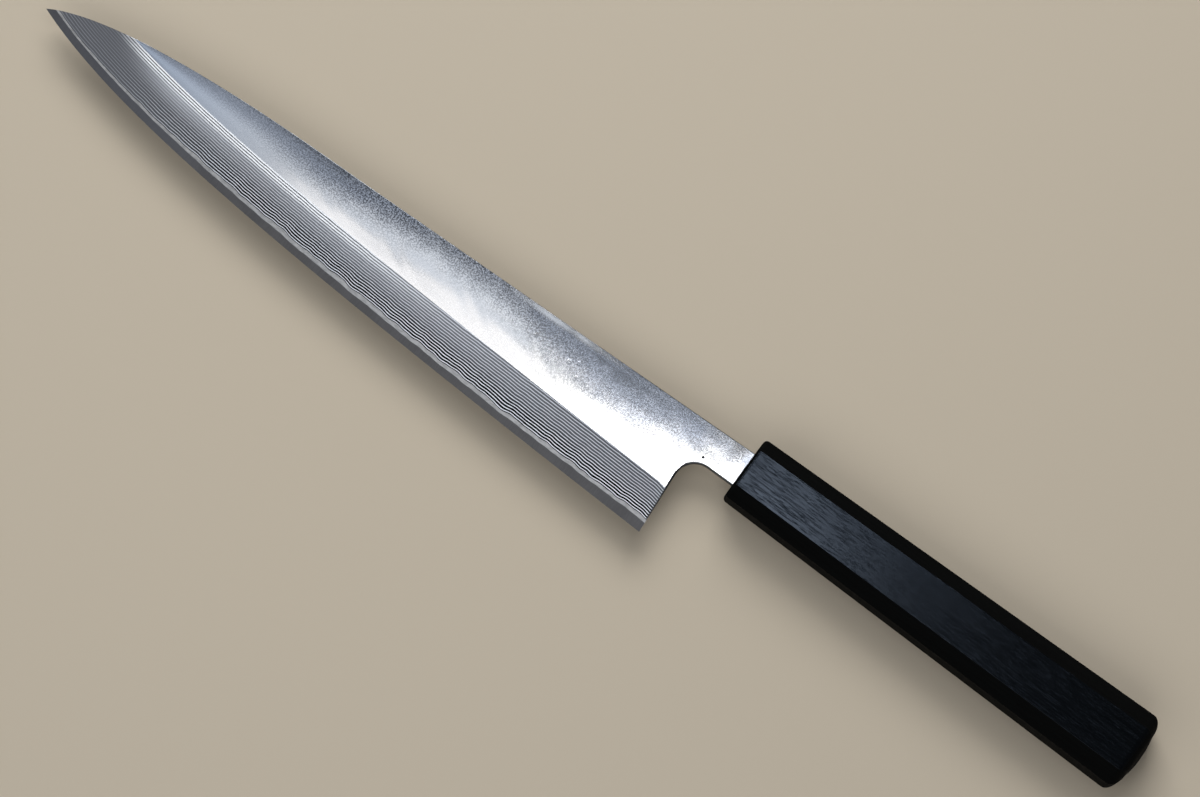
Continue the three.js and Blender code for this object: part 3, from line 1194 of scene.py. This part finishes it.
    def _flat_rows(self, first: np.ndarray, last: np.ndarray) -> np.ndarray:
        """Lay out rows between two lines, closer near both.

        Args:
            first: First line, a point for each column.
            last: Last line.

        Returns:
            Points by column and row.
        """
        rim = np.array(self.rim_rows)[None] * MM
        room = np.maximum(np.linalg.norm(last - first, axis=1), TINY)[:, None]
        rim = rim * np.minimum(1.0, room / (self.rim_room * rim[0, -1])) / room
        middle = np.linspace(0, 1, self.flat_rows + 2)[None, 1:-1]
        inner = part_way(rim[:, -1:], 1 - rim[:, -1:], middle)
        return self._rows(first, last, np.concatenate([rim, inner, 1 - rim[:, ::-1]], axis=1))

    @staticmethod
    def _joined(grid: np.ndarray, neck: np.ndarray) -> SheetPlan:
        """Join the blade's grid and the neck's, which share the upper rows of the last column.

        Args:
            grid: Points of the blade by column and row.
            neck: Points of the neck by column and row.

        Returns:
            All points, and faces that run counter-clockwise.
        """
        columns, rows = grid.shape[:2]
        shared = neck.shape[1]
        numbers = np.arange(columns * rows).reshape(columns, rows)
        neck_numbers = columns * rows + np.arange(neck.shape[0] * shared).reshape(-1, shared)
        neck_numbers = np.vstack([numbers[-1:, rows - shared:], neck_numbers])
        faces = []
        for block in (numbers, neck_numbers):
            corners = [block[:-1, :-1], block[1:, :-1], block[1:, 1:], block[:-1, 1:]]
            faces.append(np.stack([corner.ravel() for corner in corners], 1))
        points = np.vstack([grid.reshape(-1, 2), neck.reshape(-1, 2)])
        return SheetPlan(points, np.vstack(faces))

    def _closed(
        self,
        name: str,
        sheet: SheetPlan,
        outer: np.ndarray,
        inner: np.ndarray,
        side: Side,
        values: Mapping[str, np.ndarray] | None = None,
    ) -> bpy.types.Object:
        """Close a layer between its outer and inner face.

        Args:
            name: Piece's name.
            sheet: Layer's points and faces.
            outer: Distance of its outer face from the middle plane.
            inner: Distance of its inner face.
            side: Side of the blade.
            values: Values for the mesh's points, outer face first.

        Returns:
            The piece.
        """
        count = len(sheet.points)
        places = np.vstack([np.column_stack([sheet.points, side.value * z]) for z in (outer, inner)])
        fronts = sheet.faces.tolist()
        backs = (sheet.faces[:, ::-1] + count).tolist()
        edges = dict.fromkeys(edge for face in fronts for edge in zip(face, face[1:] + face[:1]))
        walls = [(b, a, a + count, b + count) for a, b in edges if (b, a) not in edges]
        return mesh_piece(name, places + np.array(self.origin), [*fronts, *backs, *walls], values or {})


def mesh_piece(
    name: str,
    places: np.ndarray,
    faces: Sequence[Sequence[int]],
    values: Mapping[str, np.ndarray],
) -> bpy.types.Object:
    """Make a smooth closed piece.

    Args:
        name: Piece's name.
        places: Its points.
        faces: Its faces.
        values: Values that its points hold, by name.

    Returns:
        The piece, with doubled points merged and faces turned outwards.
    """
    mesh = bpy.data.meshes.new(name)
    mesh.from_pydata(places.tolist(), [], faces)
    for key, numbers in values.items():
        held = mesh.attributes.new(key, "FLOAT", "POINT")
        held.data.foreach_set("value", np.asarray(numbers, np.float32))
    work = bmesh.new()
    work.from_mesh(mesh)
    bmesh.ops.remove_doubles(work, verts=work.verts, dist=WELD_DISTANCE)
    bmesh.ops.dissolve_degenerate(work, edges=work.edges, dist=NEEDLE_LENGTH)
    bmesh.ops.recalc_face_normals(work, faces=work.faces)
    work.to_mesh(mesh)
    work.free()
    piece = bpy.data.objects.new(name, mesh)
    bpy.context.scene.collection.objects.link(piece)
    smooth(piece)
    return piece


def smooth(piece: bpy.types.Object) -> None:
    """Shade a piece smoothly, apart from its sharp edges."""
    piece.data.shade_smooth()
    piece.data.set_sharp_from_angle(angle=SHARP_ANGLE)


def dress(piece: bpy.types.Object, finish: bpy.types.Material, node: str) -> None:
    """Give a piece its finish and its place in the frame.

    Args:
        piece: Finished piece.
        finish: Its material.
        node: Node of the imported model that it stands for.
    """
    piece.data.materials.clear()
    piece.data.materials.append(finish)
    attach(piece, BODY)
    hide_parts(node)
    LOG.info("%s: %d faces", piece.name, len(piece.data.polygons))


@dataclass
class Handle:
    """One-piece octagonal handle that grows to a rounded, domed butt, with its tang socket.

    Each field is an input of the node tree that makes the handle.
    """

    origin: Vector
    length: float = 149.0 * MM
    front_height: float = 21.3 * MM
    front_thickness: float = 18.5 * MM
    front_chamfer: float = 4.3 * MM
    chamfer_lean: float = math.tan(math.radians(52))
    butt_height: float = 25.5 * MM
    butt_thickness: float = 22.0 * MM
    arris_round: float = 0.15 * MM
    arris_steps: int = 5
    front_ease: float = 1.4 * MM
    butt_round: float = 5.4 * MM
    butt_run: float = 3.6 * MM
    butt_dome: float = 1.0 * MM
    socket_length: float = 96.85 * MM
    socket_top: float = 6.55 * MM
    socket_foot: float = 7.15 * MM
    socket_end: float = 4.35 * MM
    socket_half: float = 2.1 * MM
    socket_lead: float = 1.0 * MM
    front_rings: int = 6
    butt_rings: int = 10
    dome_rings: int = 6

    def build(self) -> None:
        """Build and dress the handle."""
        finish = BlackWood().material()
        tree, sockets = self._tree()
        piece = bpy.data.objects.new("handle_octagon", bpy.data.meshes.new("handle_octagon"))
        bpy.context.scene.collection.objects.link(piece)
        modifier = piece.modifiers.new("octagon", "NODES")
        modifier.node_group = tree
        modifier[sockets.pop("material")] = finish
        for name, identifier in sockets.items():
            value = getattr(self, name)
            modifier[identifier] = tuple(value) if isinstance(value, Vector) else value
        bake(piece)
        smooth(piece)
        piece.modifiers.new("even facets", "WEIGHTED_NORMAL").keep_sharp = True
        bake(piece)
        dress(piece, finish, "handle_body")

    def _tree(self) -> tuple[bpy.types.NodeTree, dict[str, str]]:
        """Build the handle's node tree.

        Returns:
            The tree, and the identifier of each of its inputs by the field's name.
        """
        tree = bpy.data.node_groups.new("octagon_handle", "GeometryNodeTree")
        graph = Graph(tree)
        kinds = {Vector: "NodeSocketVector", float: "NodeSocketFloat", int: "NodeSocketInt"}
        inputs = {entry.name: kinds[entry.type] for entry in fields(self)}
        inputs["material"] = "NodeSocketMaterial"
        labels = {name: name.replace("_", " ").title() for name in inputs}
        identifiers = {}
        for name, kind in inputs.items():
            socket = tree.interface.new_socket(labels[name], in_out="INPUT", socket_type=kind)
            identifiers[name] = socket.identifier
        tree.interface.new_socket("Geometry", in_out="OUTPUT", socket_type="NodeSocketGeometry")
        given = graph.add("NodeGroupInput")
        size = {name: given.other(label) for name, label in labels.items()}
        form = self._grown(graph, size, self._swept(graph, size))
        form = graph.add("GeometryNodeMeshBoolean", {"operation": "DIFFERENCE", "solver": "EXACT"},
                         {"Mesh 1": form, "Mesh 2": self._socket(graph, size)})
        facing = graph.axes(graph.add("GeometryNodeInputNormal"))[2]
        form = graph.add("GeometryNodeStoreNamedAttribute", {"data_type": "FLOAT", "domain": "FACE"},
                         {"Geometry": form, "Name": "broad", "Value": abs(facing)})
        form = graph.add("GeometryNodeTransform", {}, {"Geometry": form, "Translation": size["origin"]})
        form = graph.add("GeometryNodeRealizeInstances", {}, {"Geometry": form})
        form = graph.add("GeometryNodeSetMaterial", {}, {"Geometry": form, "Material": size["material"]})
        graph.add("NodeGroupOutput", {}, {"Geometry": form})
        return tree, identifiers

    @staticmethod
    def _swept(graph: Graph, size: Mapping[str, Wire]) -> Wire:
        """Sweep the front's section along the handle, drawn in at both ends.

        Args:
            graph: Tree's builder.
            size: Tree's inputs by name.

        Returns:
            The swept form.
        """
        box = graph.add("GeometryNodeCurvePrimitiveQuadrilateral", {"mode": "RECTANGLE"},
                        {"Width": size["front_height"],
                         "Height": size["front_thickness"] * size["chamfer_lean"]})
        octagon = graph.add("GeometryNodeFilletCurve", {"mode": "POLY"},
                            {"Curve": box, "Count": 1, "Radius": size["front_chamfer"]})
        section = graph.add("GeometryNodeFilletCurve", {"mode": "POLY"},
                            {"Curve": octagon, "Count": size["arris_steps"],
                             "Radius": size["arris_round"]})
        ring = graph.add("GeometryNodeInputIndex")
        ease, swell, run = size["front_ease"], size["butt_round"], size["butt_run"]
        front_turn = QUARTER_TURN * (1 - ring / size["front_rings"])
        front_x = ease * (1 - front_turn.sin())
        front_scale = 1 - ease * (1 - front_turn.cos()) / (size["front_height"] * 0.5)
        butt_ring = ring - size["front_rings"] - 1
        butt_turn = QUARTER_TURN * (butt_ring / size["butt_rings"])
        butt_x = size["length"] - size["butt_dome"] - run + run * butt_turn.sin()
        butt_half = size["butt_height"] * 0.5
        butt_scale = 1 - swell * (1 - butt_turn.cos()) / butt_half
        share = 1 - (butt_ring - size["butt_rings"]) / size["dome_rings"]
        dome_x = size["length"] - size["butt_dome"] * share * share
        dome_scale = (1 - swell / butt_half) * share
        at_front = ring < size["front_rings"] + 0.5
        at_butt = butt_ring < size["butt_rings"] + 0.5

        def choose(front: Wire, butt: Wire, dome: Wire) -> Wire:
            """Pick the value for the ring's part of the handle.

            Args:
                front: Value on the front's round.
                butt: Value on the butt's round.
                dome: Value on the butt's dome.

            Returns:
                The ring's value.
            """
            value = dome
            for here, chosen in ((at_butt, butt), (at_front, front)):
                value = graph.add("GeometryNodeSwitch", {"input_type": "FLOAT"},
                                  {"Switch": here, "False": value, "True": chosen})
            return value

        count = size["front_rings"] + size["butt_rings"] + size["dome_rings"] + 2
        line = graph.add("GeometryNodeMeshLine", {"mode": "OFFSET"}, {"Count": count})
        line = graph.moved(line, choose(front_x, butt_x, dome_x))
        path = graph.add("GeometryNodeMeshToCurve", {}, {"Mesh": line})
        scale = choose(front_scale, butt_scale, dome_scale)
        path = graph.add("GeometryNodeSetCurveRadius", {}, {"Curve": path, "Radius": scale})
        skin = graph.add("GeometryNodeCurveToMesh", {}, {"Curve": path, "Profile Curve": section,
                                                         "Scale": scale, "Fill Caps": True})
        return graph.add("GeometryNodeMergeByDistance", {},
                         {"Geometry": skin, "Distance": RING_WELD_DISTANCE})

    @staticmethod
    def _grown(graph: Graph, size: Mapping[str, Wire], form: Wire) -> Wire:
        """Let the section grow from the front to the butt.

        Args:
            graph: Tree's builder.
            size: Tree's inputs by name.
            form: Form with one section all along.

        Returns:
            The grown form.
        """
        x, y, z = graph.axes(graph.add("GeometryNodeInputPosition"))
        share = x / size["length"]
        tall = 1 + share * (size["butt_height"] / size["front_height"] - 1)
        thick = 1 + share * (size["butt_thickness"] / size["front_thickness"] - 1)
        return graph.moved(form, x, y * tall, z * (thick / size["chamfer_lean"]))

    @staticmethod
    def _socket(graph: Graph, size: Mapping[str, Wire]) -> Wire:
        """Make the tang's tapered socket as a cutting body.

        Args:
            graph: Tree's builder.
            size: Tree's inputs by name.

        Returns:
            The cutting body, which runs out of the handle's front.
        """
        block = graph.add("GeometryNodeMeshCube", {}, {"Size": (2.0, 2.0, 2.0)})
        x, y, z = graph.axes(graph.add("GeometryNodeInputPosition"))
        length, lead, end = size["socket_length"], size["socket_lead"], size["socket_end"]
        along = (x + 1) * 0.5 * (length + lead) - lead
        share = along / length
        top = size["socket_top"] + share * (end - size["socket_top"])
        foot = size["socket_foot"] + share * (end - size["socket_foot"])
        height = (top + foot) * 0.5 * y + (top - foot) * 0.5
        return graph.moved(block, along, height, z * size["socket_half"])


def bake(piece: bpy.types.Object) -> None:
    """Turn a piece with live modifiers into a plain mesh.

    Args:
        piece: Piece to change.
    """
    depsgraph = bpy.context.evaluated_depsgraph_get()
    mesh = bpy.data.meshes.new_from_object(piece.evaluated_get(depsgraph), depsgraph=depsgraph)
    piece.modifiers.clear()
    piece.data = mesh


@dataclass
class MouthFittings:
    """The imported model's own seal and adhesive bed, with their finishes."""

    seal: CloudedFinish = MOUTH_RESIN
    bed: CloudedFinish = BED_RESIN

    def dress(self, nodes: Mapping[str, bpy.types.Object]) -> None:
        """Give each node its finish.

        Args:
            nodes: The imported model's nodes by name.
        """
        for name, finish in (("mouth_seal", self.seal), ("tang_adhesive", self.bed)):
            nodes[name].material_slots[0].material = finish.material()
            LOG.info("%s: dressed", name)


@dataclass(frozen=True)
class Lamp:
    """One soft area lamp: where it hangs, what it points at, its size and its brightness."""

    name: str
    place: Point
    aim: Point
    size: Span
    glow: float
    turn: float = 0.0
    colour: Colour = WHITE

    def hang(self) -> None:
        """Add the lamp to the scene."""
        data = bpy.data.lights.new(self.name, "AREA")
        data.shape = "RECTANGLE"
        data.size, data.size_y = self.size
        data.energy = self.glow * math.pi * self.size[0] * self.size[1]
        data.color = self.colour
        lamp = bpy.data.objects.new(self.name, data)
        aim = (Vector(self.aim) - Vector(self.place)).to_track_quat("-Z", "Y").to_matrix().to_4x4()
        lamp.matrix_world = Matrix.Translation(self.place) @ aim @ Matrix.Rotation(self.turn, 4, "Z")
        lamp.visible_camera = False
        bpy.context.scene.collection.objects.link(lamp)


@dataclass
class Studio:
    """Pale floor, soft lamps, a plain room and the camera, which looks down on the knife."""

    origin: Vector
    floor_half: float = 3.0
    aim: Point = (-48.0 * MM, -8.54 * MM, 0.0)
    tilt_to_edge: float = math.radians(7.834)
    tilt_to_butt: float = math.radians(1.565)
    roll: float = math.radians(36.583)
    distance: float = 2.5
    view: Span = (0.1, 20.0)
    frame_width: float = 364.95 * MM
    panel_height: float = 0.72
    panel_colour: Colour = (0.89, 0.967, 1.08)
    white: Colour = (0.99, 0.985, 0.99)
    horizon: Colour = (0.52, 0.53, 0.55)
    zenith: Colour = (0.07, 0.073, 0.08)
    wall_height: float = 0.5

    def lamps(self) -> list[Lamp]:
        """Return the lamps: panels overhead that the blade and handle mirror, and two soft lamps."""
        panel, white, middle = self._panel, self.white, (0.0, 0.0, 0.0)
        return [
            panel("panel_heel", (-0.0197, 0.0573), (0.105, 0.080), 8.0, 46, white),
            panel("panel_front", (0.027, 0.150), (0.070, 0.070), 2.2, 0),
            panel("panel_middle", (-0.111, 0.054), (0.088, 0.072), 1.27, -5, white),
            panel("panel_fore", (-0.186, 0.047), (0.062, 0.064), 1.27, 0, white),
            panel("panel_tip", (-0.255, 0.052), (0.080, 0.070), 0.52, 3),
            panel("panel_spine", (-0.1495, 0.122), (0.149, 0.070), 0.80, 6),
            panel("panel_point", (-0.280, 0.120), (0.100, 0.075), 0.66, 6),
            panel("panel_edge", (-0.110, -0.075), (0.400, 0.190), 1.05, 3),
            Lamp("key_soft", (-0.55, 0.75, 1.0), middle, (0.9, 0.9), 4.9),
            Lamp("fill_soft", (0.1, -0.85, 1.15), middle, (2.0, 1.0), 1.18),
        ]

    def _panel(
        self, name: str, middle: Span, size: Span, glow: float, turn: float, colour: Colour | None = None
    ) -> Lamp:
        """Make a panel overhead that faces straight down.

        Args:
            name: Lamp's name.
            middle: Its place along and across the knife, from the handle's front.
            size: Its length and width.
            glow: Its brightness.
            turn: Its turn about the vertical, in degrees.
            colour: Its colour, if not the panels' cool one.

        Returns:
            The lamp.
        """
        place = self.origin + Vector((*middle, self.panel_height))
        below = place - Vector((0.0, 0.0, 1.0))
        tint = colour or self.panel_colour
        return Lamp(name, tuple(place), tuple(below), size, glow, math.radians(turn), tint)

    def build(self) -> None:
        """Add the floor, the lamps, the room and the camera."""
        self._floor()
        for lamp in self.lamps():
            lamp.hang()
        self._room()
        self._camera()
        bpy.context.scene.view_settings.view_transform = "Standard"

    def _floor(self) -> None:
        """Add the floor at the level that the knife lies on."""
        half = self.floor_half
        mesh = bpy.data.meshes.new("floor")
        corners = [(-half, -half, 0.0), (half, -half, 0.0), (half, half, 0.0), (-half, half, 0.0)]
        mesh.from_pydata(corners, [], [(0, 1, 2, 3)])
        mesh.materials.append(PaleFloor().material())
        floor = bpy.data.objects.new("floor", mesh)
        bpy.context.scene.collection.objects.link(floor)

    def _room(self) -> None:
        """Set a plain room with pale walls and a dim ceiling."""
        world = bpy.data.worlds.new("plain_room")
        world.use_nodes = True
        bpy.context.scene.world = world
        graph = Graph(world.node_tree)
        up = graph.axes(graph.add("ShaderNodeTexCoord", output="Generated"))[2]
        colour = graph.blend(up.ramp(0.0, self.wall_height), self.horizon, self.zenith)
        light = graph.add("ShaderNodeBackground", {}, {"Color": colour})
        graph.add("ShaderNodeOutputWorld", {}, {"Surface": light})

    def _camera(self) -> None:
        """Add the camera, leaning a little to the edge and the butt, with the knife slanted."""
        back = Vector((math.tan(self.tilt_to_butt), -math.tan(self.tilt_to_edge), 1.0)).normalized()
        right = Vector((math.cos(self.roll), math.sin(self.roll), 0.0))
        right = (right - back * right.dot(back)).normalized()
        data = bpy.data.cameras.new("camera")
        data.lens = data.sensor_width * self.distance / self.frame_width
        data.clip_start, data.clip_end = self.view
        camera = bpy.data.objects.new("camera", data)
        turn = Matrix((right, back.cross(right), back)).transposed().to_4x4()
        place = self.origin + Vector(self.aim) + back * self.distance
        camera.matrix_world = Matrix.Translation(place) @ turn
        bpy.context.scene.collection.objects.link(camera)
        bpy.context.scene.camera = camera


def handle_front() -> Vector:
    """Return the middle of the handle's front, which the knife's sizes are measured from."""
    low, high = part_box("handle_body")
    return Vector((low.x, (low.y + high.y) / 2, (low.z + high.z) / 2))


def main() -> None:
    """Build the knife and its studio."""
    origin = handle_front()
    Studio(origin).build()
    Blade(origin).build()
    Handle(origin).build()
    MouthFittings().dress(frame["nodes"])


if __name__ == "__main__":
    main()
